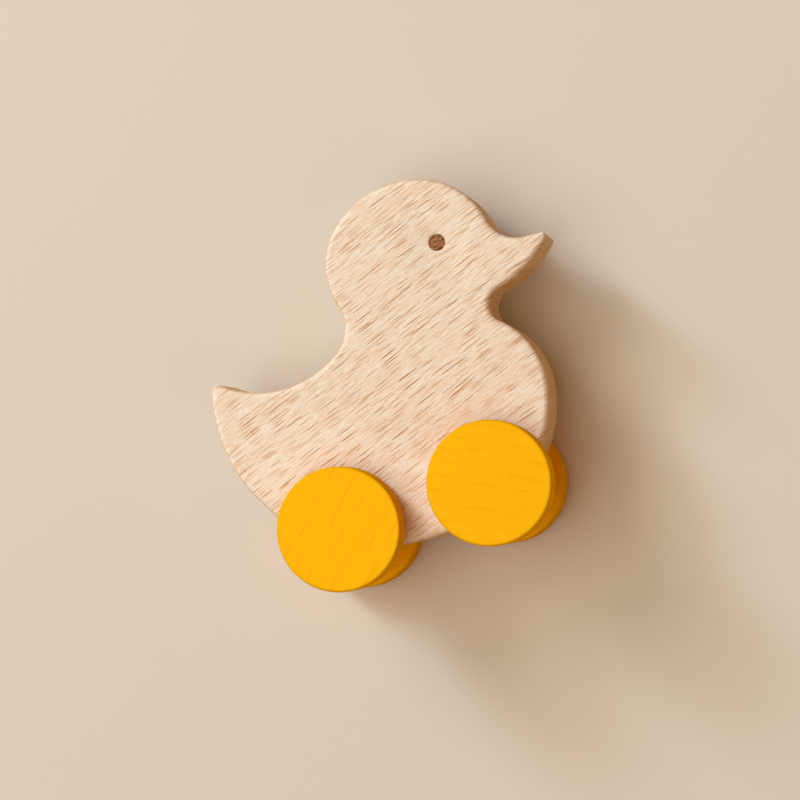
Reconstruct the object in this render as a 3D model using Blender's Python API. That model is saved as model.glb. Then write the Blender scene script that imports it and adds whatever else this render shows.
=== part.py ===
"""A push-along wooden duck: a flat beech board on two free-turning axles with four stained wheels.

Metres, +Z up, +X towards the beak, the duck's right side at -Y. The origin lies on the ground
under the middle of the toy. Angles are in degrees.
"""

import math
from collections import namedtuple

import bmesh
import bpy
from mathutils import Vector

# Board
BODY_THICKNESS = 0.0240
EDGE_ROUND = 0.0018
EDGE_EASE = 0.25  # how fast the rounding grows away from a tight tip

# Wheels
WHEEL_RADIUS = 0.0190
WHEEL_WIDTH = 0.0100
WHEEL_EDGE_ROUND = 0.0008
WHEEL_SPACING = 0.0100  # between the rims of the front and rear wheels
WHEEL_BODY_GAP = 0.0012
WHEEL_FACE_WALL = 0.0030  # wood left between the axle's socket and the wheel's plain face

# Axles
AXLE_RADIUS = 0.0030
AXLE_CHAMFER = 0.0005
AXLE_CLEARANCE = 0.0004  # all round, in the board's bores
GLUE_GAP = 0.0003

# Eyes, placed from the centre of the crown
EYE_RADIUS = 0.0026
EYE_AHEAD = 0.0088
EYE_ABOVE = 0.0085
EYE_SOCKET_DEPTH = 0.0060
EYE_RECESS = 0.0003
EYE_CHAMFER = 0.0002

# Outline of the head, placed from the front axle
CROWN_AHEAD = -0.0040
CROWN_ABOVE = 0.0667
CROWN_RADIUS = 0.0303
OCCIPUT_RADIUS = 0.0224
OCCIPUT_LEAN = 39.1  # behind the vertical, where the crown runs into the back of the head
FOREHEAD_RADIUS = 0.0242
FOREHEAD_LEAN = 15.5  # ahead of the vertical, where the crown runs into the forehead
BROW_RADIUS = 0.0100

# Outline of the beak, placed from the centre of the crown
BEAK_TIP_AHEAD = 0.0401
BEAK_TIP_ABOVE = 0.0007
BEAK_TIP_RADIUS = 0.0010
BEAK_DROOP = 5.3  # of its straight top, towards the tip
BEAK_UNDERSIDE_RADIUS = 0.0341
BEAK_UNDERSIDE_LEAN = 47.8  # ahead of straight down, where the tip runs into the underside
THROAT_RADIUS = 0.0057
THROAT_LEAST_SHARE = 0.51  # of the gap between beak and chest, which the throat has to span

# Outline of the neck and back
NAPE_RADIUS = 0.0126
NAPE_DROP = 17.2  # below the horizontal, where the back of the head runs into the nape
BACK_RADIUS = 0.0316
BACK_LEAN = 33.5  # behind the vertical, where the nape runs into the back
TAIL_TIP_RADIUS = 0.0024

# Outline of the hull: wood left beyond each axle's centre, and the arcs that run past it
FRONT_AXLE_WALL = 0.0064
BREAST_RADIUS = 0.0399
BREAST_LEAN = 26.5  # ahead of straight down, from the breast's centre to the front axle
CHEST_RADIUS = 0.0242
CHEST_DROP = 7.3  # below the horizontal, where the breast runs into the chest
KEEL_RADIUS = 0.1214
REAR_AXLE_WALL = 0.0072
STERN_RADIUS = 0.0198
STERN_LEAN = 9.6  # behind straight down, from the stern's centre to the rear axle
FLANK_LENGTH = 0.0148
FLANK_DROP = 31.5  # below the horizontal, the way the straight flank faces
RUMP_RADIUS = 0.0485

# Facets
FACET_DEPTH = 0.00003
EDGE_SEGMENTS = 4
WHEEL_SIDES = 50  # leaves a facet, not a corner, on the ground
AXLE_SIDES = 24
SMOOTH_BELOW = 32.0
MERGE_DISTANCE = 0.000001

# Fillets take at most this share of the wall that they round
FILLET_SHARE = 0.9

# Finishes: linear colour and roughness
BEECH = ((0.80, 0.60, 0.41), 0.55)
YELLOW_STAIN = ((0.98, 0.47, 0.01), 0.50)
DARK_WOOD = ((0.36, 0.17, 0.08), 0.55)

# Directions in the side view
FORWARD = 0.0
UP = 90.0
BACKWARD = 180.0
DOWN = 270.0

SOCKET_DEPTH = WHEEL_WIDTH - WHEEL_FACE_WALL
WHEELBASE = 2 * WHEEL_RADIUS + WHEEL_SPACING
AXLE_HEIGHT = WHEEL_RADIUS * math.cos(math.pi / WHEEL_SIDES)
AXLE_LENGTH = BODY_THICKNESS + 2 * (WHEEL_BODY_GAP + SOCKET_DEPTH - GLUE_GAP)
WHEEL_OFFSET = BODY_THICKNESS / 2 + WHEEL_BODY_GAP + WHEEL_WIDTH / 2
REAR_AXLE = Vector((0, 0))
FRONT_AXLE = Vector((WHEELBASE, 0))
CROWN_CENTRE = FRONT_AXLE + Vector((CROWN_AHEAD, CROWN_ABOVE))
SIDES = {"right": -1, "left": 1}

Arc = namedtuple("Arc", "centre radius")  # a hollow arc has its radius below zero
Stretch = namedtuple("Stretch", "arc end straight_on")


def direction(degrees):
    """The unit vector at this angle in the side view."""
    angle = math.radians(degrees)
    return Vector((math.cos(angle), math.sin(angle)))


def runs_into(arc, radius, degrees):
    """The arc that carries on from another where its outward normal has this angle."""
    return Arc(arc.centre + (arc.radius - radius) * direction(degrees), radius)


def between(first, second, radius, side):
    """The arc that runs smoothly from one arc into another, left (1) or right (-1) of their centres."""
    across = second.centre - first.centre
    span = across.length
    reach = abs(first.radius - radius)
    along = (reach**2 - (second.radius - radius) ** 2 + span**2) / (2 * span)
    away = math.sqrt(max(reach**2 - along**2, 0))
    unit = across / span
    return Arc(first.centre + along * unit + side * away * unit.orthogonal(), radius)


def hollow_above_line(arc, line_normal, line_offset, radius):
    """The hollow arc that leads from a round one on to a straight line ahead of it."""
    rise = line_offset + radius - arc.centre.dot(line_normal)
    run = math.sqrt(max((arc.radius + radius) ** 2 - rise**2, 0))
    return Arc(arc.centre + rise * line_normal - run * line_normal.orthogonal(), -radius)


def joint(first, second):
    """The outward normal's angle where one arc runs into the next."""
    normal = (second.centre - first.centre) / (first.radius - second.radius)
    return math.degrees(math.atan2(normal.y, normal.x))


def duck_outline():
    """The side view, clockwise from the tail: arcs that meet smoothly, with two straight stretches."""
    crown = Arc(CROWN_CENTRE, CROWN_RADIUS)
    occiput = runs_into(crown, OCCIPUT_RADIUS, UP + OCCIPUT_LEAN)
    forehead = runs_into(crown, FOREHEAD_RADIUS, UP - FOREHEAD_LEAN)
    nape = runs_into(occiput, -NAPE_RADIUS, BACKWARD + NAPE_DROP)
    back = runs_into(nape, -BACK_RADIUS, UP + BACK_LEAN)

    tip = Arc(CROWN_CENTRE + Vector((BEAK_TIP_AHEAD, BEAK_TIP_ABOVE)), BEAK_TIP_RADIUS)
    beak_top = direction(UP - BEAK_DROOP)
    brow = hollow_above_line(forehead, beak_top, tip.centre.dot(beak_top) + tip.radius, BROW_RADIUS)
    underside = runs_into(tip, BEAK_UNDERSIDE_RADIUS, DOWN + BEAK_UNDERSIDE_LEAN)

    breast_centre = FRONT_AXLE - (BREAST_RADIUS - FRONT_AXLE_WALL) * direction(DOWN + BREAST_LEAN)
    breast = Arc(breast_centre, BREAST_RADIUS)
    chest = runs_into(breast, CHEST_RADIUS, FORWARD - CHEST_DROP)
    beak_to_chest = (underside.centre - chest.centre).length - underside.radius - chest.radius
    throat_radius = max(THROAT_RADIUS, THROAT_LEAST_SHARE * beak_to_chest)
    throat = between(underside, chest, -throat_radius, 1)

    stern_centre = REAR_AXLE - (STERN_RADIUS - REAR_AXLE_WALL) * direction(DOWN - STERN_LEAN)
    stern = Arc(stern_centre, STERN_RADIUS)
    flank = BACKWARD + FLANK_DROP
    rump_foot = runs_into(stern, RUMP_RADIUS, flank)
    rump = Arc(rump_foot.centre + FLANK_LENGTH * direction(flank - 90), RUMP_RADIUS)
    keel = between(breast, stern, KEEL_RADIUS, -1)
    tail = between(rump, back, TAIL_TIP_RADIUS, 1)

    return [
        Stretch(tail, joint(tail, back), False),
        Stretch(back, joint(back, nape), False),
        Stretch(nape, joint(nape, occiput), False),
        Stretch(occiput, joint(occiput, crown), False),
        Stretch(crown, joint(crown, forehead), False),
        Stretch(forehead, joint(forehead, brow), False),
        Stretch(brow, UP - BEAK_DROOP, True),
        Stretch(tip, joint(tip, underside), False),
        Stretch(underside, joint(underside, throat), False),
        Stretch(throat, joint(throat, chest), False),
        Stretch(chest, joint(chest, breast), False),
        Stretch(breast, joint(breast, keel), False),
        Stretch(keel, joint(keel, stern), False),
        Stretch(stern, flank, True),
        Stretch(rump, joint(rump, tail), False),
    ]


def stations(outline):
    """Each point of the outline as its arc and its outward normal, spaced so that facets stay shallow."""
    points = []
    for previous, stretch in zip([outline[-1], *outline], outline):
        turn = (stretch.end - previous.end + 180) % 360 - 180
        facet = 2 * math.acos(1 - FACET_DEPTH / abs(stretch.arc.radius))
        count = math.ceil(abs(math.radians(turn)) / facet)
        for step in range(count + stretch.straight_on):
            points.append((stretch.arc, direction(previous.end + turn * step / count)))
    return points


def quarter_round(radius):
    """(inset, depth) pairs round an edge, from the flat face to the side."""
    for step in range(EDGE_SEGMENTS + 1):
        angle = math.pi / 2 * (1 - step / EDGE_SEGMENTS)
        yield radius * (1 - math.cos(angle)), radius * (1 - math.sin(angle))


def new_object(name, mesh, material, parent):
    """An object with one material, under an empty."""
    mesh.materials.append(material)
    thing = bpy.data.objects.new(name, mesh)
    bpy.context.scene.collection.objects.link(thing)
    thing.parent = parent
    return thing


def edge_share(place, tips, edge):
    """The share of the board's full edge rounding that fits at this place on the outline."""
    room = min(tip.radius + EDGE_EASE * ((place - tip.centre).length - tip.radius) for tip in tips)
    return min(1, FILLET_SHARE * room / edge)


def board(name, outline, material, parent):
    """The outline as a board whose edges are rounded over, less so towards a tight tip."""
    points = stations(outline)
    tips = [stretch.arc for stretch in outline if 0 < stretch.arc.radius < BODY_THICKNESS / 2]
    edge = min(EDGE_ROUND, FILLET_SHARE * BODY_THICKNESS / 2)
    shares = [edge_share(arc.centre + arc.radius * normal, tips, edge) for arc, normal in points]
    levels = [(inset, depth, -1) for inset, depth in quarter_round(edge)]
    levels += [(inset, depth, 1) for inset, depth, _ in reversed(levels)]

    shape = bmesh.new()
    rings = []
    for inset, depth, side in levels:
        ring = []
        for (arc, normal), share in zip(points, shares):
            place = arc.centre + (arc.radius - share * inset) * normal
            ring.append(shape.verts.new((place.x, side * (BODY_THICKNESS / 2 - share * depth), place.y)))
        rings.append(ring)
    for ring, following in zip(rings, rings[1:]):
        for i in range(len(points)):
            shape.faces.new((ring[i - 1], ring[i], following[i], following[i - 1]))
    shape.faces.new(rings[0])
    shape.faces.new(rings[-1])
    bmesh.ops.recalc_face_normals(shape, faces=shape.faces)

    mesh = bpy.data.meshes.new(name)
    shape.to_mesh(mesh)
    shape.free()
    mesh.shade_smooth()
    mesh.set_sharp_from_angle(angle=math.radians(SMOOTH_BELOW))
    return new_object(name, mesh, material, parent)


def turned(name, profile, sides, material, parent):
    """A lathe piece about its own Z, from (radius, height) pairs that run from the top to the bottom."""
    mesh = bpy.data.meshes.new(name)
    places = [(radius, 0, height) for radius, height in profile]
    mesh.from_pydata(places, [(i, i + 1) for i in range(len(places) - 1)], [])
    piece = new_object(name, mesh, material, parent)
    screw = piece.modifiers.new("Turn", "SCREW")
    screw.steps = sides
    screw.render_steps = sides
    screw.use_merge_vertices = True
    screw.merge_threshold = MERGE_DISTANCE
    screw.use_smooth_shade = True
    return piece


def face_sideways(piece, side):
    """Lays a turned piece's axis along Y, with its top towards one side of the toy."""
    piece.rotation_euler = (-side * math.pi / 2, 0, 0)


def plain_rod(radius, length, chamfer):
    """The profile of a rod centred on its origin, with chamfered ends."""
    half = length / 2
    upper = [(0, half), (radius - chamfer, half), (radius, half - chamfer)]
    return upper + [(across, -height) for across, height in reversed(upper)]


def wheel_profile():
    """A disc with rounded edges, a plain face at the top and the axle's socket at the bottom."""
    half = WHEEL_WIDTH / 2
    edge = quarter_round(min(WHEEL_EDGE_ROUND, FILLET_SHARE * half))
    socket = AXLE_RADIUS + GLUE_GAP
    rim = [(WHEEL_RADIUS - inset, half - depth) for inset, depth in edge]
    profile = [(0, half), *rim]
    profile += [(radius, -height) for radius, height in reversed(rim)]
    return profile + [(socket, -half), (socket, SOCKET_DEPTH - half), (0, SOCKET_DEPTH - half)]


def cut(thing, cutter):
    """Takes a cutter's shape out of an object, and keeps the cutter out of the model."""
    cutter.hide_render = True
    cutter.display_type = "WIRE"
    boolean = thing.modifiers.new(cutter.name, "BOOLEAN")
    boolean.operation = "DIFFERENCE"
    boolean.solver = "EXACT"
    boolean.object = cutter


def empty(name, place, parent):
    """An empty that carries a group of pieces."""
    carrier = bpy.data.objects.new(name, None)
    bpy.context.scene.collection.objects.link(carrier)
    carrier.location = place
    carrier.parent = parent
    return carrier


def wood(name, finish):
    """A plain wooden material."""
    colour, roughness = finish
    material = bpy.data.materials.new(name)
    material.use_nodes = True
    shader = material.node_tree.nodes["Principled BSDF"]
    shader.inputs["Base Color"].default_value = (*colour, 1)
    shader.inputs["Roughness"].default_value = roughness
    shader.inputs["Metallic"].default_value = 0
    return material


def build_wheelset(name, place, toy, beech, stain):
    """One axle with a wheel glued on each end, under an empty on the axle's line."""
    carrier = empty(f"{name}_wheelset", (place.x, 0, place.y), toy)
    dowel = plain_rod(AXLE_RADIUS, AXLE_LENGTH, AXLE_CHAMFER)
    axle = turned(f"{name}_axle", dowel, AXLE_SIDES, beech, carrier)
    face_sideways(axle, 1)
    for side_name, side in SIDES.items():
        wheel = turned(f"{name}_{side_name}_wheel", wheel_profile(), WHEEL_SIDES, stain, carrier)
        wheel.location.y = side * WHEEL_OFFSET
        face_sideways(wheel, side)


def build_body(toy, outline, beech):
    """The board with a bore for each axle."""
    body = board("duck_body", outline, beech, toy)
    for name, place in (("rear", REAR_AXLE), ("front", FRONT_AXLE)):
        drill = plain_rod(AXLE_RADIUS + AXLE_CLEARANCE, 2 * BODY_THICKNESS, 0)
        bore = turned(f"{name}_bore", drill, AXLE_SIDES, beech, toy)
        bore.location = (place.x, 0, place.y)
        face_sideways(bore, 1)
        cut(body, bore)
    return body


def build_eyes(toy, body, dark_wood):
    """A dark plug in a blind socket on each side of the head."""
    place = CROWN_CENTRE + Vector((EYE_AHEAD, EYE_ABOVE))
    plug_length = EYE_SOCKET_DEPTH - EYE_RECESS - GLUE_GAP
    for side_name, side in SIDES.items():
        drill = plain_rod(EYE_RADIUS + GLUE_GAP, 2 * EYE_SOCKET_DEPTH, 0)
        socket = turned(f"eye_{side_name}_socket", drill, AXLE_SIDES, dark_wood, toy)
        socket.location = (place.x, side * BODY_THICKNESS / 2, place.y)
        face_sideways(socket, side)
        cut(body, socket)
        plug = plain_rod(EYE_RADIUS, plug_length, EYE_CHAMFER)
        eye = turned(f"eye_{side_name}", plug, AXLE_SIDES, dark_wood, toy)
        eye.location = (place.x, side * (BODY_THICKNESS / 2 - EYE_RECESS - plug_length / 2), place.y)
        face_sideways(eye, side)


def main():
    """Clears the scene and builds the duck."""
    for thing in list(bpy.data.objects):
        bpy.data.objects.remove(thing)
    beech = wood("beech", BEECH)
    stain = wood("yellow stained wood", YELLOW_STAIN)
    dark_wood = wood("dark wood", DARK_WOOD)

    outline = duck_outline()
    reach = [(arc.centre + arc.radius * normal).x for arc, normal in stations(outline)]
    toy = empty("duck", (-(min(reach) + max(reach)) / 2, 0, AXLE_HEIGHT), None)
    body = build_body(toy, outline, beech)
    build_eyes(toy, body, dark_wood)
    build_wheelset("front", FRONT_AXLE, toy, beech, stain)
    build_wheelset("rear", REAR_AXLE, toy, beech, stain)


main()
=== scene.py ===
"""Looks of a push-along wooden duck: a beech board with dark eyes on yellow-stained wheels.

Everything is in metres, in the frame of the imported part: +X towards the beak, the duck's right side
at -Y, +Z up. The picture is taken almost square to the right side, with the toy tilted back in it.
"""

import logging
import math
from collections.abc import Callable, Iterator
from contextlib import contextmanager
from dataclasses import dataclass
from enum import Enum
from typing import Any

import bmesh
import bpy
import numpy as np
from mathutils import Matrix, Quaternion, Vector
from mathutils.kdtree import KDTree


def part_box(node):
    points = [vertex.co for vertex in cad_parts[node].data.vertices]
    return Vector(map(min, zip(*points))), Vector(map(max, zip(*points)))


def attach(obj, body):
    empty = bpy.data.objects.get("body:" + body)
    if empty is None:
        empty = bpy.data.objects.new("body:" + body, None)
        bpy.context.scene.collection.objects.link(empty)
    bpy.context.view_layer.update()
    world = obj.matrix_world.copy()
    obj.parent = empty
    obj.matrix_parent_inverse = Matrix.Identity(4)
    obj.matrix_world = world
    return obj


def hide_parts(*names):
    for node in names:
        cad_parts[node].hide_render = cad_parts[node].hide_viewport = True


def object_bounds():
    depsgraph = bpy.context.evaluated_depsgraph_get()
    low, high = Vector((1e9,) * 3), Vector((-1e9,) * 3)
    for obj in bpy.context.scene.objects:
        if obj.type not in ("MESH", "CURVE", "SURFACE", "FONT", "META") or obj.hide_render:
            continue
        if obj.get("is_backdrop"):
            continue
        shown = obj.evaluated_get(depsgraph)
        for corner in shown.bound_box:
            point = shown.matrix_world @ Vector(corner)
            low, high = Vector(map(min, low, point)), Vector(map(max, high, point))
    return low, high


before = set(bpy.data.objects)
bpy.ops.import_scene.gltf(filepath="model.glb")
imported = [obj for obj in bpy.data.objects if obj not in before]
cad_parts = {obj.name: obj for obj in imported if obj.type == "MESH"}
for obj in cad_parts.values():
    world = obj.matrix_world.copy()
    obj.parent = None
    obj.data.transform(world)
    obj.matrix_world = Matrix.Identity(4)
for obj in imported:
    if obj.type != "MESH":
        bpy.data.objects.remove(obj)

LOG = logging.getLogger("duck")
MERGE_DISTANCE = 0.000001
SMOOTH_BELOW = math.radians(32)
AXIS_ALONG_Y = (math.pi / 2, 0, 0)
FLAT = (0, 0, 0)
EVEN_BENDING = 0.00001
EVENING_ROUNDS = 6
STRAIGHT_BELOW = 0.0001
CORNER_ABOVE = math.radians(0.3)
SAME_LENGTH = 0.00001
SAME_RADIUS = 0.00002
MIX_SHARE, MIX_COLOURS, MIX_RESULT = 0, slice(6, 8), 2

Colour = tuple[float, float, float]
Angles = tuple[float, float, float]
Size = tuple[float, float, float]
Step = tuple[float, float]
Socket = bpy.types.NodeSocket
Input = float | tuple[float, ...] | Socket
Inputs = dict[str | int, Input]


class Side(Enum):
    """The two sides of the toy, by the sign of Y."""

    RIGHT = -1
    LEFT = 1


class End(Enum):
    """The two ends of the toy that have an axle."""

    FRONT = "front"
    REAR = "rear"


class Body(Enum):
    """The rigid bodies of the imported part."""

    DUCK = "duck"
    FRONT_WHEELSET = "front_wheelset"
    REAR_WHEELSET = "rear_wheelset"


class Slot(Enum):
    """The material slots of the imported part."""

    BEECH = "beech"
    YELLOW_STAIN = "yellow_stained_wood"
    DARK_WOOD = "dark_wood"


def paint(red: float, green: float, blue: float) -> Colour:
    """Turns a colour as a screen shows it into the linear one that shaders take.

    Args:
        red: Red, from 0 to 255.
        green: Green, from 0 to 255.
        blue: Blue, from 0 to 255.

    Returns:
        The linear colour, each part from 0 to 1.
    """

    def linear(value: float) -> float:
        """One part of the colour."""
        share = value / 255
        return share / 12.92 if share <= 0.04045 else ((share + 0.055) / 1.055) ** 2.4

    return linear(red), linear(green), linear(blue)


class Graph:
    """A node tree that is built by short calls."""

    def __init__(self, tree: bpy.types.NodeTree) -> None:
        """Empties a tree, to build in it."""
        self.tree = tree
        tree.nodes.clear()

    def add(self, kind: str, inputs: Inputs | None = None, **settings: Any) -> bpy.types.Node:
        """Adds a node.

        Args:
            kind: The node's type without "ShaderNode".
            inputs: Values or sockets for its inputs, by name or number.
            settings: Properties of the node itself.

        Returns:
            The node.
        """
        node = self.tree.nodes.new(f"ShaderNode{kind}")
        for name, value in settings.items():
            setattr(node, name, value)
        for key, value in (inputs or {}).items():
            if isinstance(value, Socket):
                self.tree.links.new(value, node.inputs[key])
            else:
                node.inputs[key].default_value = value
        return node

    def math(self, operation: str, *values: Input) -> Socket:
        """The result of a sum on numbers."""
        return self.add("Math", dict(enumerate(values)), operation=operation).outputs[0]

    def vector(self, operation: str, *values: Input) -> Socket:
        """The result of a sum on vectors."""
        node = self.add("VectorMath", dict(enumerate(values)), operation=operation)
        return node.outputs["Value" if operation == "LENGTH" else "Vector"]

    def ramp(self, value: Input, start: float, end: float, low: Input = 0.0, high: Input = 1.0) -> Socket:
        """A smooth step.

        Args:
            value: What is stepped.
            start: Where the step starts.
            end: Where the step ends.
            low: The result before the start.
            high: The result after the end.

        Returns:
            The stepped value.
        """
        inputs = {"Value": value, "From Min": start, "From Max": end, "To Min": low, "To Max": high}
        return self.add("MapRange", inputs, interpolation_type="SMOOTHSTEP").outputs["Result"]

    def noise(self, place: Input, lump: Size, detail: float = 2.0, roughness: float = 0.5) -> Socket:
        """Cloudy noise.

        Args:
            place: Where it is read.
            lump: The size of its lumps.
            detail: How many finer layers it has.
            roughness: How strong the finer layers are.

        Returns:
            A number from 0 to 1.
        """
        scaled = self.vector("DIVIDE", place, lump)
        inputs = {"Vector": scaled, "Scale": 1.0, "Detail": detail, "Roughness": roughness}
        return self.add("TexNoise", inputs).outputs["Fac"]

    def turned(self, place: Input, angle: float) -> Socket:
        """A place turned about Y, by an angle in degrees."""
        turn = {"Vector": place, "Rotation": (0, math.radians(angle), 0)}
        return self.add("Mapping", turn).outputs[0]

    def mix(self, share: Input, first: Input, second: Input) -> Socket:
        """Mixes two colours.

        Args:
            share: The share of the second colour.
            first: The first colour.
            second: The second colour.

        Returns:
            The mixed colour.
        """
        node = self.add("Mix", data_type="RGBA")
        sockets = [node.inputs[MIX_SHARE], *node.inputs[MIX_COLOURS]]
        for socket, value in zip(sockets, (share, first, second)):
            if isinstance(value, Socket):
                self.tree.links.new(value, socket)
            else:
                socket.default_value = value if isinstance(value, float) else (*value[:3], 1.0)
        return node.outputs[MIX_RESULT]


def new_material(name: str) -> tuple[bpy.types.Material, Graph]:
    """Starts a material.

    Args:
        name: The material's name.

    Returns:
        The material with an empty node tree, and the graph to fill it.
    """
    material = bpy.data.materials.new(name)
    material.use_nodes = True
    return material, Graph(material.node_tree)


@dataclass(frozen=True)
class Touch:
    """How a sanded wood feels and shines: its pores, its roughness and its gloss."""

    pore_strength: float
    pore_depth: float
    roughness: float
    roughness_spread: float
    roughness_step: Step
    specular: float

    def surface(self, graph: Graph, colour: Input, height: Input, grain: Input) -> None:
        """Ends a material's tree in its shader.

        Args:
            graph: The material's graph.
            colour: The colour of the wood.
            height: How far the wood stands up at a place, from about 0 to 1.
            grain: What the roughness follows, from 0 to 1.
        """
        pores = {"Height": height, "Strength": self.pore_strength, "Distance": self.pore_depth}
        bump = graph.add("Bump", pores).outputs[0]
        least, most = self.roughness - self.roughness_spread, self.roughness + self.roughness_spread
        rough = graph.ramp(grain, *self.roughness_step, least, most)
        inputs = {"Base Color": colour, "Roughness": rough, "Normal": bump}
        shader = graph.add("BsdfPrincipled", {**inputs, "Specular IOR Level": self.specular})
        graph.add("OutputMaterial", {"Surface": shader.outputs[0]})


@dataclass(frozen=True)
class Flecks:
    """One layer of wood rays, cut across: thin dark spindles along the grain.

    Sizes are in metres. A cell holds one fleck at most, which is full dark up to a share of its size.
    """

    cell_along: float
    cell_across: float
    cell_deep: float
    half_length: float
    half_width: float
    share_empty: float
    share_full: float = 0.55

    def strength(self, graph: Graph, place: Input) -> Socket:
        """How dark the flecks are at a place.

        Args:
            graph: The material's graph.
            place: The place in the wood, with X along the grain and Y through the board.

        Returns:
            A number from 0, clear wood, to 1, the heart of a fleck.
        """
        scaled = graph.vector("DIVIDE", place, (self.cell_along, self.cell_deep, self.cell_across))
        voronoi = graph.add("TexVoronoi", {"Vector": scaled, "Scale": 1.0, "Randomness": 1.0})
        chance = graph.add("SeparateColor", {"Color": voronoi.outputs["Color"]}).outputs[0]
        away = graph.vector("SUBTRACT", scaled, voronoi.outputs["Position"])
        size = (self.half_length / self.cell_along, 1.0, self.half_width / self.cell_across)
        shape = graph.vector("LENGTH", graph.vector("DIVIDE", away, size))
        spindle = graph.ramp(shape, self.share_full, 1.0, 1.0, 0.0)
        present = graph.ramp(chance, self.share_empty, 1.0)
        return graph.math("MULTIPLY", spindle, present)


@dataclass(frozen=True)
class Beech:
    """Bare sanded beech: growth tone, fibres, pores and ray flecks that run through the solid.

    Sizes are along the grain, through the board and across the grain. A step is where a layer starts
    to show and where it shows in full. The sawn edges are darker than the planed faces: partly the end
    grain's own darker tone, partly painted shade.
    """

    pale: Colour = paint(241, 225, 204)
    growth: Colour = paint(238, 217, 193)
    streak: Colour = paint(218, 153, 80)
    fleck: Colour = paint(166, 96, 36)
    grain_angle: float = 19.6
    wave_size: Size = (0.030, 0.020, 0.012)
    wave_height: float = 0.0012
    growth_size: Size = (0.045, 0.009, 0.0045)
    growth_step: Step = (0.35, 0.70)
    fibre_size: Size = (0.0075, 0.0030, 0.00034)
    fibre_step: Step = (0.47, 0.70)
    fibre_share: float = 0.65
    pore_size: Size = (0.0012, 0.0009, 0.00020)
    pore_step: Step = (0.45, 0.80)
    pore_share: float = 0.40
    bold: Flecks = Flecks(
        cell_along=0.0120,
        cell_across=0.0017,
        cell_deep=0.011,
        half_length=0.0052,
        half_width=0.00016,
        share_empty=0.20,
    )
    fine: Flecks = Flecks(
        cell_along=0.0080,
        cell_across=0.0009,
        cell_deep=0.007,
        half_length=0.0036,
        half_width=0.00014,
        share_empty=0.05,
    )
    fine_share: float = 0.8
    fleck_dent: float = 0.5
    # Painted shade together with the end grain's darker tone: the sawn edges' colour is multiplied by
    # this.
    edge_tone_and_shade: Colour = (0.78, 0.61, 0.38)
    edge_flecks: float = 0.4
    edge_depth: float = 0.0018
    touch: Touch = Touch(
        pore_strength=0.35,
        pore_depth=0.00004,
        roughness=0.58,
        roughness_spread=0.06,
        roughness_step=(0.2, 0.8),
        specular=0.02,
    )

    def material(self, name: str) -> bpy.types.Material:
        """Makes the wood.

        Args:
            name: The material's name.

        Returns:
            The material.
        """
        material, graph = new_material(name)
        coordinates = graph.add("TexCoord").outputs["Object"]
        place = self.place(graph, coordinates)
        growth = graph.noise(place, self.growth_size)
        fibre = graph.noise(place, self.fibre_size, detail=3.0, roughness=0.6)
        pores = graph.noise(place, self.pore_size, detail=1.0)
        faced = self.faced(graph, coordinates)
        flecks = self.flecks(graph, place, faced)

        tone = graph.mix(graph.ramp(growth, *self.growth_step), self.pale, self.growth)
        streaks = graph.math("MULTIPLY", graph.ramp(fibre, *self.fibre_step), self.fibre_share)
        streaked = graph.mix(streaks, tone, self.streak)
        specks = graph.math("MULTIPLY", graph.ramp(pores, *self.pore_step), self.pore_share)
        speckled = graph.mix(specks, streaked, self.streak)
        tinted = graph.mix(flecks, speckled, self.streak)
        wood = graph.mix(graph.math("MULTIPLY", flecks, flecks), tinted, self.fleck)
        # The sawn edges get painted shade here, together with the end grain's darker tone.
        shaded = graph.vector("MULTIPLY", wood, graph.mix(faced, self.edge_tone_and_shade, (1.0, 1.0, 1.0)))
        height = graph.math("SUBTRACT", fibre, graph.math("MULTIPLY", flecks, self.fleck_dent))
        self.touch.surface(graph, shaded, height, fibre)
        return material

    def place(self, graph: Graph, coordinates: Input) -> Socket:
        """Finds the place in the wood, along a grain that is a little wavy.

        Args:
            graph: The material's graph.
            coordinates: The place on the toy.

        Returns:
            The place with X along the grain and Y through the board.
        """
        straight = graph.turned(coordinates, self.grain_angle)
        wave = graph.noise(straight, self.wave_size, detail=1.0)
        shift = graph.math("MULTIPLY", graph.math("SUBTRACT", wave, 0.5), self.wave_height)
        return graph.vector("ADD", straight, graph.add("CombineXYZ", {"Z": shift}).outputs[0])

    def faced(self, graph: Graph, coordinates: Input) -> Socket:
        """Tells the planed faces from the sawn edge between them.

        Args:
            graph: The material's graph.
            coordinates: The place on the toy.

        Returns:
            A number from 0, the edge, to 1, a face.
        """
        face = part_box("duck_body")[1].y
        across = graph.math("ABSOLUTE", graph.add("SeparateXYZ", {0: coordinates}).outputs["Y"])
        return graph.ramp(across, face - self.edge_depth, face)

    def flecks(self, graph: Graph, place: Input, faced: Input) -> Socket:
        """Lays both layers of flecks, fainter on the sawn edge.

        Args:
            graph: The material's graph.
            place: The place in the wood.
            faced: A number from 0, the edge, to 1, a face.

        Returns:
            How dark the flecks are, from 0 to 1.
        """
        fine = graph.math("MULTIPLY", self.fine.strength(graph, place), self.fine_share)
        both = graph.math("MAXIMUM", self.bold.strength(graph, place), fine)
        clear = graph.math("MULTIPLY_ADD", faced, 1 - self.edge_flecks, self.edge_flecks)
        return graph.math("MULTIPLY", both, clear)


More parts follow.
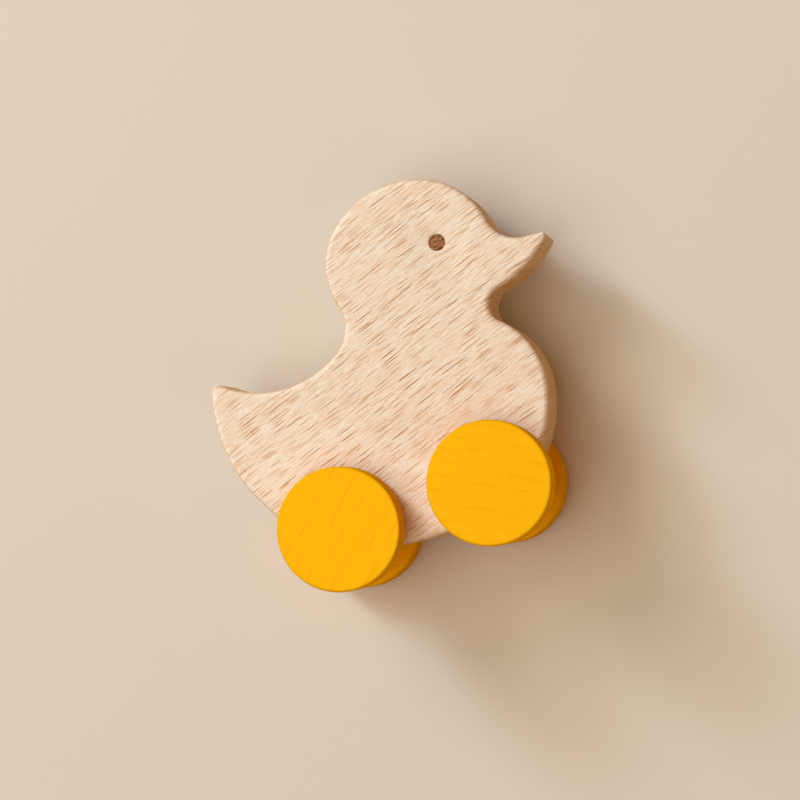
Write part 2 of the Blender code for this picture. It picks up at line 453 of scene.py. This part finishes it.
@dataclass(frozen=True)
class YellowStain:
    """Yellow stain on fine-grained wood, with the grain faint under it and the rim darker: partly a
    deeper tone of the stain, partly painted shade.

    The grain is cut from flattened growth rings round a pith, whose place is given from the wheel's
    middle. A ring darkens up to its late edge, and then starts anew.
    """

    grain_angle: float
    pith: tuple[float, float]
    stain: Colour = paint(255, 184, 16)
    deep: Colour = paint(250, 172, 14)
    # The rim's colour: painted shade together with the stain's deeper tone on the end grain.
    rim_tone_and_shade: Colour = paint(228, 160, 2)
    rim_depth: float = 0.0010
    ring_spacing: float = 0.0042
    ring_squash: Size = (0.35, 0.6, 1.0)
    wave_size: Size = (0.016, 0.010, 0.007)
    wave_rings: float = 1.4
    late_step: Step = (0.55, 0.95)
    patch_size: Size = (0.008, 0.008, 0.005)
    patch_step: Step = (0.38, 0.68)
    patch_shares: Step = (0.05, 0.85)
    fibre_size: Size = (0.0050, 0.0030, 0.00035)
    fibre_step: Step = (0.45, 0.80)
    fibre_share: float = 0.45
    touch: Touch = Touch(
        pore_strength=0.3,
        pore_depth=0.00002,
        roughness=0.52,
        roughness_spread=0.05,
        roughness_step=(0.2, 0.8),
        specular=0.0,
    )

    def material(self, name: str, centre: Vector, radius: float) -> bpy.types.Material:
        """Makes the stained wood for one wheel.

        Args:
            name: The material's name.
            centre: The middle of the wheel.
            radius: The wheel's radius.

        Returns:
            The material.
        """
        material, graph = new_material(name)
        coordinates = graph.add("TexCoord").outputs["Object"]
        from_centre = graph.vector("SUBTRACT", coordinates, tuple(centre))
        place = graph.turned(from_centre, self.grain_angle)
        fibre = graph.noise(place, self.fibre_size, detail=3.0, roughness=0.6)
        fibres = graph.math("MULTIPLY", graph.ramp(fibre, *self.fibre_step), self.fibre_share)
        depth = graph.math("MINIMUM", graph.math("ADD", self.rings(graph, place), fibres), 1.0)
        face = graph.mix(depth, self.stain, self.deep)
        off_axis = graph.vector("LENGTH", graph.vector("MULTIPLY", from_centre, (1.0, 0.0, 1.0)))
        # The rim's colour carries painted shade as well as a deeper stain.
        colour = graph.mix(graph.ramp(off_axis, radius - self.rim_depth, radius), face, self.rim_tone_and_shade)
        self.touch.surface(graph, colour, fibre, fibre)
        return material

    def rings(self, graph: Graph, place: Input) -> Socket:
        """How dark the growth rings are at a place, in patches.

        Args:
            graph: The material's graph.
            place: The place from the wheel's middle, with X along the grain.

        Returns:
            A number from 0 to 1.
        """
        pith = (self.pith[0], 0.0, self.pith[1])
        radial = graph.vector("MULTIPLY", graph.vector("SUBTRACT", place, pith), self.ring_squash)
        even = graph.math("DIVIDE", graph.vector("LENGTH", radial), self.ring_spacing)
        wave = graph.math("MULTIPLY", graph.noise(place, self.wave_size), self.wave_rings)
        ring = graph.math("FRACT", graph.math("ADD", even, wave))
        late = graph.ramp(ring, *self.late_step)
        ends = graph.ramp(ring, self.late_step[1], 1.0, 1.0, 0.0)
        patches = graph.ramp(graph.noise(place, self.patch_size), *self.patch_step, *self.patch_shares)
        return graph.math("MULTIPLY", graph.math("MULTIPLY", late, ends), patches)


@dataclass(frozen=True)
class DarkWood:
    """Brown wood with near-black streaks along the grain."""

    brown: Colour = paint(180, 128, 88)
    streak: Colour = paint(102, 60, 32)
    grain_angle: float = 18.6
    streak_size: Size = (0.0026, 0.002, 0.00024)
    streak_step: Step = (0.40, 0.62)
    touch: Touch = Touch(
        pore_strength=0.4,
        pore_depth=0.00005,
        roughness=0.6,
        roughness_spread=0.08,
        roughness_step=(0.3, 0.7),
        specular=0.02,
    )

    def material(self, name: str) -> bpy.types.Material:
        """Makes the dark wood.

        Args:
            name: The material's name.

        Returns:
            The material.
        """
        material, graph = new_material(name)
        place = graph.turned(graph.add("TexCoord").outputs["Object"], self.grain_angle)
        streaks = graph.noise(place, self.streak_size, roughness=0.6)
        colour = graph.mix(graph.ramp(streaks, *self.streak_step), self.brown, self.streak)
        self.touch.surface(graph, colour, streaks, streaks)
        return material


class Sight(Enum):
    """Who sees a stage surface: every ray from the front, or the camera alone."""

    ALL_RAYS = "all"
    CAMERA = "camera"


@dataclass(frozen=True)
class Paper:
    """Plain beige paper that shows from its front only and lets lamps behind it through.

    Far from the toy it fades, for the camera, to the flat tone of the room around it. Near the toy it
    has a smaller share of that tone, or none. Shadow rays pass through it up to the first depth, which
    is that of surfaces that the camera sees.
    """

    colour: Colour = paint(230, 218, 202)
    far_colour: Colour = paint(224, 206, 186)
    near_share: float = 0.0
    fade_start: float = 0.35
    fade_end: float = 1.2
    roughness: float = 0.9
    first_depth: float = 1.5

    def material(self, name: str, sight: Sight) -> bpy.types.Material:
        """Makes the paper.

        Args:
            name: The material's name.
            sight: Which rays meet it.

        Returns:
            The material.
        """
        material, graph = new_material(name)
        sheet = graph.add("BsdfDiffuse", {"Color": (*self.colour, 1.0), "Roughness": self.roughness})
        flat = graph.add("Emission", {"Color": (*self.far_colour, 1.0), "Strength": 1.0})
        clear = graph.add("BsdfTransparent")
        rays = graph.add("LightPath")
        away = graph.vector("LENGTH", graph.add("TexCoord").outputs["Object"])
        flatness = graph.ramp(away, self.fade_start, self.fade_end, self.near_share)
        fade = graph.math("MULTIPLY", flatness, rays.outputs["Is Camera Ray"])
        surface = graph.add("MixShader", {0: fade, 1: sheet.outputs[0], 2: flat.outputs[0]})
        front = graph.math("SUBTRACT", 1.0, graph.add("NewGeometry").outputs["Backfacing"])
        if sight is Sight.CAMERA:
            met = rays.outputs["Is Camera Ray"]
        else:
            first = graph.math("LESS_THAN", rays.outputs["Ray Depth"], self.first_depth)
            passing = graph.math("MULTIPLY", rays.outputs["Is Shadow Ray"], first)
            met = graph.math("SUBTRACT", 1.0, passing)
        share = graph.math("MULTIPLY", front, met)
        mixed = graph.add("MixShader", {0: share, 1: clear.outputs[0], 2: surface.outputs[0]})
        graph.add("OutputMaterial", {"Surface": mixed.outputs[0]})
        material.cycles.emission_sampling = "NONE"
        return material


class Pick(Enum):
    """What is selected on a piece in edit mode."""

    EDGES = "EDGE"
    FACES = "FACE"


class Bench:
    """Modelling by operators, on one piece at a time."""

    @staticmethod
    def clear() -> None:
        """Deselects everything."""
        bpy.ops.object.select_all(action="DESELECT")

    @staticmethod
    def choose(piece: bpy.types.Object) -> None:
        """Selects one piece alone and makes it the active one.

        Args:
            piece: The piece.
        """
        Bench.clear()
        piece.select_set(True)
        bpy.context.view_layer.objects.active = piece

    @staticmethod
    def take(name: str) -> bpy.types.Object:
        """Names the primitive that was just added, and puts its place into its mesh.

        Args:
            name: The piece's name.

        Returns:
            The piece.
        """
        piece = bpy.context.active_object
        piece.name = name
        piece.data.name = name
        bpy.ops.object.transform_apply(location=True, rotation=True, scale=True)
        return piece

    @staticmethod
    def copy_of_node(node: str) -> bpy.types.Object:
        """A free copy of a CAD node's mesh, with its loose triangles merged.

        Args:
            node: The CAD node's name.

        Returns:
            The copy.
        """
        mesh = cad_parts[node].data.copy()
        copy = bpy.data.objects.new(f"{node}_copy", mesh)
        bpy.context.scene.collection.objects.link(copy)
        with Bench.editing(copy):
            bpy.ops.mesh.select_all(action="SELECT")
            bpy.ops.mesh.remove_doubles(threshold=MERGE_DISTANCE)
        return copy

    @staticmethod
    @contextmanager
    def editing(piece: bpy.types.Object) -> Iterator[None]:
        """Holds one piece in edit mode.

        Args:
            piece: The piece.

        Yields:
            Nothing, while the piece is in edit mode.
        """
        Bench.choose(piece)
        bpy.ops.object.mode_set(mode="EDIT")
        bpy.ops.mesh.select_mode(type="EDGE")
        yield
        bpy.ops.object.mode_set(mode="OBJECT")

    @staticmethod
    def pick(piece: bpy.types.Object, what: Pick, wanted: Callable[[Vector], bool]) -> None:
        """In edit mode, selects the edges or faces with all their corners where they are wanted.

        Args:
            piece: The piece in edit mode.
            what: What is selected.
            wanted: Tells if a place is wanted.
        """
        bpy.ops.mesh.select_mode(type=what.value)
        bpy.ops.mesh.select_all(action="DESELECT")
        shape = bmesh.from_edit_mesh(piece.data)
        for part in shape.edges if what is Pick.EDGES else shape.faces:
            part.select_set(all(wanted(vertex.co) for vertex in part.verts))
        bmesh.update_edit_mesh(piece.data)

    @staticmethod
    def extrude_on(piece: bpy.types.Object, ring: list[Vector], following: list[Vector]) -> None:
        """In edit mode, extrudes the selected end face and moves its corners to the next ring.

        Args:
            piece: The piece in edit mode.
            ring: Where the corners of the end face are.
            following: Where they go, in the same order.
        """
        bpy.ops.mesh.extrude_region_move(TRANSFORM_OT_translate={"value": (0, 0, 0)})
        shape = bmesh.from_edit_mesh(piece.data)
        corners = [vertex for vertex in shape.verts if vertex.select]
        tree = KDTree(len(ring))
        for index, place in enumerate(ring):
            tree.insert(place, index)
        tree.balance()
        for corner in corners:
            corner.co = following[tree.find(corner.co)[1]]
        bmesh.update_edit_mesh(piece.data)

    @staticmethod
    def cylinder(
        name: str, centre: Vector, radius: float, length: float, sides: int
    ) -> bpy.types.Object:
        """Adds a cylinder along Y.

        Args:
            name: The piece's name.
            centre: Its middle.
            radius: Its radius.
            length: Its length along Y.
            sides: How many flat sides stand for the round one.

        Returns:
            The cylinder.
        """
        Bench.clear()
        size = {"vertices": sides, "radius": radius, "depth": length}
        bpy.ops.mesh.primitive_cylinder_add(**size, location=centre, rotation=AXIS_ALONG_Y)
        return Bench.take(name)

    @staticmethod
    def cut(piece: bpy.types.Object, cutter: bpy.types.Object) -> None:
        """Takes a cutter's shape out of a piece, and removes the cutter.

        Args:
            piece: The piece that is cut.
            cutter: The cutter.
        """
        boolean = piece.modifiers.new("Cut", "BOOLEAN")
        boolean.operation = "DIFFERENCE"
        boolean.solver = "EXACT"
        boolean.object = cutter
        Bench.apply(piece, boolean)
        bpy.data.objects.remove(cutter)

    @staticmethod
    def apply(piece: bpy.types.Object, modifier: bpy.types.Modifier) -> None:
        """Applies a modifier of a piece."""
        Bench.choose(piece)
        bpy.ops.object.modifier_apply(modifier=modifier.name)

    @staticmethod
    def finish(piece: bpy.types.Object, material: bpy.types.Material) -> None:
        """Gives a piece its material and smooth shading.

        Args:
            piece: The piece.
            material: Its material.
        """
        piece.data.materials.clear()
        piece.data.materials.append(material)
        Bench.choose(piece)
        bpy.ops.object.shade_smooth_by_angle(angle=SMOOTH_BELOW)


def hand_over(piece: bpy.types.Object, node: str, body: Body, slot: Slot) -> None:
    """Puts a piece in the place of its CAD node.

    Args:
        piece: The finished piece.
        node: The CAD node that it stands for.
        body: The body that it moves with.
        slot: The record's slot for its finish; not used.
    """
    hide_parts(node)
    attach(piece, body.value)
    LOG.info("%s stands for %s and rides on %s", piece.name, node, body.value)


def near(first: float, second: float, tolerance: float = SAME_LENGTH) -> bool:
    """Tells if two lengths are the same, within a tolerance."""
    return abs(first - second) < tolerance


def off_axis(place: Vector, centre: Vector) -> float:
    """The distance of a place from a line along Y."""
    return math.hypot(place.x - centre.x, place.z - centre.z)


@dataclass
class EyePlug:
    """A dark plug in a blind socket on one side of the head, all but level with the face."""

    side: Side
    sides: int = 72
    rim_round: float = 0.00006
    rim_segments: int = 3
    crown_inset: float = 0.0005
    crown_rise: float = 0.00004
    below_face: float = 0.00006

    @property
    def node(self) -> str:
        """The CAD node's name."""
        return f"eye_{self.side.name.lower()}"

    def place(self) -> tuple[Vector, float, float]:
        """Raises the plug of the CAD almost to the board's face.

        Returns:
            Its middle, its radius and its length.
        """
        low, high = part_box(self.node)
        face_low, face_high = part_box("duck_body")
        if self.side is Side.RIGHT:
            low.y = face_low.y + self.below_face
        else:
            high.y = face_high.y - self.below_face
        return (low + high) / 2, (high.x - low.x) / 2, high.y - low.y

    def build(self, finish: DarkWood) -> bpy.types.Object:
        """Models the plug.

        Args:
            finish: Its wood.

        Returns:
            The plug.
        """
        centre, radius, length = self.place()
        plug = Bench.cylinder(f"eye_plug_{self.side.name.lower()}", centre, radius, length, self.sides)
        outer = centre.y + self.side.value * length / 2
        with Bench.editing(plug):
            Bench.pick(plug, Pick.EDGES, lambda place: near(place.y, outer))
            bpy.ops.mesh.bevel(offset=self.rim_round, segments=self.rim_segments, affect="EDGES")
            Bench.pick(plug, Pick.FACES, lambda place: near(place.y, outer))
            bpy.ops.mesh.inset(thickness=self.crown_inset)
            bpy.ops.transform.translate(value=(0, self.side.value * self.crown_rise, 0))
        Bench.finish(plug, finish.material(f"dark_wood_{self.side.name.lower()}"))
        hand_over(plug, self.node, Body.DUCK, Slot.DARK_WOOD)
        return plug


@dataclass
class Board:
    """The duck sawn from one board: its outline, rounded edges, axle bores and eye sockets."""

    node: str = "duck_body"
    edge_round: float = 0.0018
    edge_segments: int = 10
    edge_ease: float = 0.22
    tip_round: float = 0.00085
    tip_reach: float = 0.0016
    rim_inset: float = 0.00005
    point_spacing: float = 0.0005
    point_turn: float = math.radians(5)
    socket_gap: float = 0.00004
    socket_round: float = 0.00006
    bore_clearance: float = 0.0004
    bore_round: float = 0.0004
    hole_sides: int = 72
    hole_segments: int = 3

    def outline(self) -> list[Vector]:
        """Cuts a copy of the CAD board at mid thickness and walks round the cut.

        Returns:
            The outline's corners in order, clockwise from the beak, on the plane y = 0.
        """
        section = Bench.copy_of_node(self.node)
        with Bench.editing(section):
            bpy.ops.mesh.select_all(action="SELECT")
            plane = {"plane_co": (0, 0, 0), "plane_no": (0, 1, 0)}
            bpy.ops.mesh.bisect(**plane, clear_inner=True, clear_outer=True)
        places = [vertex.co.copy() for vertex in section.data.vertices]
        neighbours: dict[int, list[int]] = {}
        for edge in section.data.edges:
            for one, other in (edge.vertices, reversed(edge.vertices)):
                neighbours.setdefault(one, []).append(other)
        bpy.data.objects.remove(section)

        walk = [max(neighbours, key=lambda index: places[index].x)]
        walk.append(min(neighbours[walk[0]], key=lambda index: places[index].z))
        while walk[-1] != walk[0]:
            walk.append(next(index for index in neighbours[walk[-1]] if index != walk[-2]))
        loop = [places[index] for index in walk[:-1]]
        threes = zip([loop[-1], *loop], loop, [*loop[1:], loop[0]])
        turns = [(here, (here - before).angle(after - here)) for before, here, after in threes]
        return [here for here, turn in turns if turn > CORNER_ABOVE]

    @staticmethod
    def turns(corners: np.ndarray) -> tuple[np.ndarray, np.ndarray, np.ndarray]:
        """Finds how far the curve turns along each side of an outline that was made of arcs.

        The turn at a corner is half of what both its sides turn. That leaves one way to shift turning
        between odd and even sides, which a slight preference for even bending settles.

        Args:
            corners: The outline's corners as (x, z) rows, in order.

        Returns:
            For each side its length, its heading and its turn.
        """
        steps = np.roll(corners, -1, axis=0) - corners
        lengths = np.hypot(*steps.T)
        headings = np.arctan2(steps[:, 1], steps[:, 0])
        at_corners = (headings - np.roll(headings, 1) + math.pi) % math.tau - math.pi
        here = np.eye(len(corners))
        before = np.roll(here, -1, axis=1)
        bending = here / lengths
        uneven = bending - np.roll(bending, 1, axis=0)
        wanted = np.concatenate([2 * at_corners, np.zeros(len(corners))])
        weights = np.ones((len(corners), 1))
        for _ in range(EVENING_ROUNDS):
            rows = np.concatenate([here + before, EVEN_BENDING * weights * uneven])
            turns = np.linalg.lstsq(rows, wanted, rcond=None)[0]
            weights = 1 / (1 + np.abs(uneven @ turns)[:, None])
        return lengths, headings, turns

    def smooth_outline(self) -> tuple[list[Vector], list[Vector]]:
        """The outline with each straight side bent back into its arc.

        Returns:
            Close points in order on the plane y = 0, and the way inward at each.
        """
        corners = self.outline()
        points, inward = [], []
        sides = self.turns(np.array([(corner.x, corner.z) for corner in corners]))
        for start, length, heading, turn in zip(corners, *(values.tolist() for values in sides)):
            count = math.ceil(max(length / self.point_spacing, abs(turn) / self.point_turn))
            for step in range(count):
                done = turn * step / count
                chord = length * step / count
                if abs(turn) > STRAIGHT_BELOW:
                    chord = length * math.sin(done / 2) / math.sin(turn / 2)
                first = heading - turn / 2
                sight = first + done / 2
                points.append(start + chord * Vector((math.cos(sight), 0, math.sin(sight))))
                inward.append(Vector((math.sin(first + done), 0, -math.cos(first + done))))
        return points, inward

    def build(self, finish: Beech, eyes: list[EyePlug]) -> bpy.types.Object:
        """Models the board.

        Args:
            finish: Its wood.
            eyes: The plugs that it holds.

        Returns:
            The board.
        """
        rings = self.rings()
        Bench.clear()
        bpy.ops.mesh.primitive_circle_add(vertices=len(rings[0]))
        board = Bench.take("duck_board")
        for vertex, place in zip(board.data.vertices, rings[0]):
            vertex.co = place
        with Bench.editing(board):
            bpy.ops.mesh.select_all(action="SELECT")
            bpy.ops.mesh.edge_face_add()
            for ring, following in zip(rings, rings[1:]):
                Bench.extrude_on(board, ring, following)
            bpy.ops.mesh.select_all(action="SELECT")
            bpy.ops.mesh.normals_make_consistent(inside=False)
        for end in End:
            self.bore(board, end)
        for eye in eyes:
            self.socket(board, eye)
        Bench.finish(board, finish.material("beech"))
        hand_over(board, self.node, Body.DUCK, Slot.BEECH)
        return board

    def edge_shares(self, points: list[Vector]) -> list[float]:
        """How much of the full edge rounding fits at each point, less towards the beak's tight tip.

        Args:
            points: The outline.

        Returns:
            A share from 0 to 1 for each point.
        """
        tip = max(points, key=lambda place: place.x)
        away = [max(0.0, (place - tip).length - self.tip_reach) for place in points]
        radii = [self.tip_round + self.edge_ease * length for length in away]
        return [min(1.0, radius / self.edge_round) for radius in radii]

    def rings(self) -> list[list[Vector]]:
        """The outline at each level of the board, from the right face over both edges to the left one.

        Returns:
            One list of places for each level.
        """
        low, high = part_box(self.node)
        points, inward = self.smooth_outline()
        shares = self.edge_shares(points)
        angles = [math.pi / 2 * step / self.edge_segments for step in range(self.edge_segments + 1)]
        edge = [(1 - math.sin(angle), 1 - math.cos(angle)) for angle in angles]
        levels = [(1.0 + self.rim_inset / self.edge_round, 0.0), *edge]
        profile = [(inset, low.y, depth) for inset, depth in levels]
        profile += [(inset, high.y, -depth) for inset, depth in reversed(levels)]
        rings = []
        for inset, face, depth in profile:
            ring = []
            for place, normal, share in zip(points, inward, shares):
                moved = place + self.edge_round * share * inset * normal
                ring.append(Vector((moved.x, face + self.edge_round * share * depth, moved.z)))
            rings.append(ring)
        return rings

    def bore(self, board: bpy.types.Object, end: End) -> None:
        """Drills the bore for one axle and breaks its edges.

        Args:
            board: The board.
            end: The axle's end of the toy.
        """
        low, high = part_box(f"{end.value}_axle")
        centre = (low + high) / 2
        radius = (high.x - low.x) / 2 + self.bore_clearance
        Bench.cut(board, Bench.cylinder("bore_cutter", centre, radius, high.y - low.y, self.hole_sides))
        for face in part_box(self.node):
            self.break_edge(board, centre, radius, face.y, self.bore_round)

    def socket(self, board: bpy.types.Object, eye: EyePlug) -> None:
        """Drills the socket for one eye and breaks its edge.

        Args:
            board: The board.
            eye: The plug that goes in.
        """
        centre, radius, length = eye.place()
        low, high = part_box(self.node)
        face = low.y if eye.side is Side.RIGHT else high.y
        bottom = centre.y - eye.side.value * (length / 2 + self.socket_gap)
        mouth = Vector((centre.x, face, centre.z))
        radius += self.socket_gap
        depth = abs(face - bottom)
        Bench.cut(board, Bench.cylinder("socket_cutter", mouth, radius, 2 * depth, self.hole_sides))
        self.break_edge(board, centre, radius, face, self.socket_round)

    def break_edge(
        self, board: bpy.types.Object, centre: Vector, radius: float, face: float, size: float
    ) -> None:
        """Rounds a hole's edge a little.

        Args:
            board: The board.
            centre: A place on the hole's axis.
            radius: The hole's radius.
            face: The Y of the face that it opens in.
            size: The radius of the rounding.
        """
        with Bench.editing(board):
            Bench.pick(
                board,
                Pick.EDGES,
                lambda place: near(place.y, face) and near(off_axis(place, centre), radius, SAME_RADIUS),
            )
            bpy.ops.mesh.bevel(offset=size, segments=self.hole_segments, affect="EDGES")


@dataclass
class Wheelset:
    """One axle with a wheel glued on each end; it turns as one piece in the board's bore."""

    end: End
    body: Body
    stains: dict[Side, YellowStain]
    wheel_sides: int = 160
    edge_round: float = 0.0008
    edge_segments: int = 6
    rim_inset: float = 0.0004
    glue_gap: float = 0.0001
    socket_depth: float = 0.0070
    axle_sides: int = 64
    axle_chamfer: float = 0.0005
    axle_segments: int = 2

    def axle(self, finish: Beech) -> bpy.types.Object:
        """Models the axle.

        Args:
            finish: Its wood.

        Returns:
            The axle.
        """
        node = f"{self.end.value}_axle"
        low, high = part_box(node)
        radius = (high.x - low.x) / 2
        name = f"axle_dowel_{self.end.value}"
        dowel = Bench.cylinder(name, (low + high) / 2, radius, high.y - low.y, self.axle_sides)
        with Bench.editing(dowel):
            Bench.pick(dowel, Pick.EDGES, lambda place: near(place.y, low.y) or near(place.y, high.y))
            bpy.ops.mesh.bevel(offset=self.axle_chamfer, segments=self.axle_segments, affect="EDGES")
        Bench.finish(dowel, finish.material(f"beech_dowel_{self.end.value}"))
        hand_over(dowel, node, self.body, Slot.BEECH)
        return dowel

    def wheel(self, side: Side) -> bpy.types.Object:
        """Models one wheel: a disc with rounded edges, a plain outer face and a socket for the axle.

        Args:
            side: The side of the toy that it is on.

        Returns:
            The wheel.
        """
        node = f"{self.end.value}_{side.name.lower()}_wheel"
        low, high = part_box(node)
        centre = (low + high) / 2
        radius = (high.x - low.x) / 2
        outer, inner = (low.y, high.y) if side is Side.RIGHT else (high.y, low.y)
        axle_low, axle_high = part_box(f"{self.end.value}_axle")
        socket = (axle_high.x - axle_low.x) / 2 + self.glue_gap
        name = f"wheel_{self.end.value}_{side.name.lower()}"
        wheel = Bench.cylinder(name, centre, radius, high.y - low.y, self.wheel_sides)
        with Bench.editing(wheel):
            Bench.pick(wheel, Pick.EDGES, lambda place: near(place.y, outer) or near(place.y, inner))
            bpy.ops.mesh.bevel(offset=self.edge_round, segments=self.edge_segments, affect="EDGES")
            Bench.pick(wheel, Pick.FACES, lambda place: near(place.y, outer))
            bpy.ops.mesh.inset(thickness=self.rim_inset)
            Bench.pick(wheel, Pick.FACES, lambda place: near(place.y, inner))
            bpy.ops.mesh.inset(thickness=self.rim_inset)
            bpy.ops.mesh.inset(thickness=radius - self.edge_round - self.rim_inset - socket)
            depth = side.value * self.socket_depth
            bpy.ops.mesh.extrude_region_move(TRANSFORM_OT_translate={"value": (0, depth, 0)})
        stained = f"yellow_stain_{self.end.value}_{side.name.lower()}"
        Bench.finish(wheel, self.stains[side].material(stained, centre, radius))
        hand_over(wheel, node, self.body, Slot.YELLOW_STAIN)
        return wheel

    def build(self, finish: Beech) -> None:
        """Models the axle and both wheels.

        Args:
            finish: The axle's wood.
        """
        self.axle(finish)
        for side in Side:
            self.wheel(side)


@dataclass(frozen=True)
class Lamp:
    """A soft square lamp, placed from the toy's middle as the picture shows the toy.

    The tilt is from straight out of the picture, and the clock angle runs anticlockwise from the
    picture's right, both in degrees. A lamp that doesn't shine leaves no gloss on the toy.
    """

    name: str
    tilt: float
    clock: float
    distance: float
    size: float
    watts: float
    colour: Colour
    shines: bool = True


@dataclass
class Studio:
    """The camera, the paper behind the toy, the floor under it and the light."""

    azimuth: float = 8.759
    elevation: float = -4.351
    roll: float = 16.836
    distance: float = 0.8590
    lens: float = 124.88
    target: Vector = Vector((-0.00168, 0, 0.05249))
    clip: Step = (0.05, 20.0)
    paper_size: float = 6.0
    paper_gap: float = 0.0003
    ambient: float = 0.26
    ambient_colour: Colour = (1.0, 0.52, 0.22)
    paper: Paper = Paper()
    paper_in_shade: Paper = Paper(near_share=0.75)
    lamps: tuple[Lamp, ...] = (
        Lamp("low", tilt=63, clock=140, distance=1.8, size=0.35, watts=15.5, colour=(0.50, 0.73, 1.0)),
        Lamp("high", tilt=49, clock=140, distance=1.2, size=0.50, watts=5.6, colour=(0.97, 1.0, 1.0)),
        Lamp("front", tilt=22, clock=197, distance=3.0, size=2.6, watts=52, colour=(0.845, 0.96, 0.98)),
        Lamp("fill", tilt=42, clock=320, distance=3.0, size=1.6, watts=5.5, colour=(1.0, 0.80, 0.55)),
        Lamp(
            "behind",
            tilt=180,
            clock=0,
            distance=2.4,
            size=0.3,
            watts=42,
            colour=(1.0, 0.98, 0.95),
            shines=False,
        ),
    )

    def turn(self) -> Quaternion:
        """Turns the camera towards the toy, and rolls it.

        Returns:
            The camera's rotation.
        """
        azimuth, elevation = math.radians(self.azimuth), math.radians(self.elevation)
        back = Vector((math.sin(azimuth), -math.cos(azimuth), math.tan(elevation)))
        level = (-back).to_track_quat("-Z", "Y")
        return level @ Quaternion((0, 0, 1), -math.radians(self.roll))

    def camera(self) -> None:
        """Sets up the camera of the picture."""
        place = self.target + self.turn() @ Vector((0, 0, self.distance))
        bpy.ops.object.camera_add(location=place, rotation=self.turn().to_euler())
        camera = bpy.context.active_object
        camera.data.lens = self.lens
        camera.data.clip_start, camera.data.clip_end = self.clip
        bpy.context.scene.camera = camera

    def sheet(
        self, name: str, place: Vector, rotation: Angles, material: bpy.types.Material
    ) -> None:
        """Lays one sheet of paper.

        Args:
            name: The sheet's name.
            place: Its middle.
            rotation: Its rotation, from facing up.
            material: Its paper.
        """
        Bench.clear()
        bpy.ops.mesh.primitive_plane_add(size=self.paper_size, location=place, rotation=rotation)
        sheet = Bench.take(name)
        sheet.data.materials.append(material)
        sheet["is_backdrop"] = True

    def papers(self) -> None:
        """Lays the paper that the toy's left wheels touch, and the floor on both sides of that paper."""
        low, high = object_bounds()
        wall = high.y + self.paper_gap
        ground = low.z - self.paper_gap
        half = self.paper_size / 2
        lit = self.paper.material("paper_lit", Sight.CAMERA)
        shaded = self.paper_in_shade.material("paper_shaded", Sight.CAMERA)
        upright = self.paper.material("paper_upright", Sight.ALL_RAYS)
        self.sheet("backdrop", Vector((0, wall, 0)), AXIS_ALONG_Y, upright)
        self.sheet("floor", Vector((0, wall - half, ground)), FLAT, lit)
        self.sheet("floor_behind", Vector((0, wall + half, ground)), FLAT, shaded)

    def light(self) -> None:
        """Hangs the lamps and sets the even light of the room."""
        turn = self.turn()
        outward = Vector((0, -1, 0))
        right = turn @ Vector((1, 0, 0))
        right = (right - right.project(outward)).normalized()
        up = right.cross(outward) * -1
        for lamp in self.lamps:
            tilt, clock = math.radians(lamp.tilt), math.radians(lamp.clock)
            around = math.cos(clock) * right + math.sin(clock) * up
            towards = math.cos(tilt) * outward + math.sin(tilt) * around
            rotation = towards.to_track_quat("Z", "Y").to_euler()
            place = self.target + lamp.distance * towards
            bpy.ops.object.light_add(type="AREA", location=place, rotation=rotation)
            light = bpy.context.active_object
            light.name = f"lamp_{lamp.name}"
            light.data.size = lamp.size
            light.data.energy = lamp.watts
            light.data.color = lamp.colour
            light.visible_camera = False
            light.visible_glossy = lamp.shines
            LOG.info("%s at %s", light.name, tuple(round(value, 3) for value in place))
        world = bpy.data.worlds.new("room")
        world.use_nodes = True
        bpy.context.scene.world = world
        graph = Graph(world.node_tree)
        room = graph.add("Background", {"Color": (*self.ambient_colour, 1.0), "Strength": self.ambient})
        seen = graph.add("Background", {"Color": (*self.paper.far_colour, 1.0), "Strength": 1.0})
        rays = graph.add("LightPath")
        shares = {0: rays.outputs["Is Camera Ray"], 1: room.outputs[0], 2: seen.outputs[0]}
        mixed = graph.add("MixShader", shares)
        graph.add("OutputWorld", {"Surface": mixed.outputs[0]})

    def build(self) -> None:
        """Sets up the whole studio."""
        self.papers()
        self.light()
        self.camera()
        bpy.context.scene.view_settings.view_transform = "Standard"


def main() -> None:
    """Builds the duck piece by piece, then its studio."""
    logging.basicConfig(level=logging.INFO, format="%(name)s: %(message)s")
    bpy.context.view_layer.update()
    eyes = [EyePlug(side) for side in Side]
    Board().build(Beech(), eyes)
    for eye in eyes:
        eye.build(DarkWood())
    wheelsets = (
        Wheelset(
            End.FRONT,
            Body.FRONT_WHEELSET,
            {
                Side.RIGHT: YellowStain(grain_angle=-28.0, pith=(0.004, -0.030)),
                Side.LEFT: YellowStain(grain_angle=40.0, pith=(0.0, 0.05)),
            },
        ),
        Wheelset(
            End.REAR,
            Body.REAR_WHEELSET,
            {
                Side.RIGHT: YellowStain(grain_angle=46.0, pith=(0.0, 0.20)),
                Side.LEFT: YellowStain(grain_angle=-20.0, pith=(0.0, 0.04)),
            },
        ),
    )
    for wheelset in wheelsets:
        wheelset.build(Beech())
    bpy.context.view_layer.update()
    Studio().build()


if __name__ == "__main__":
    main()
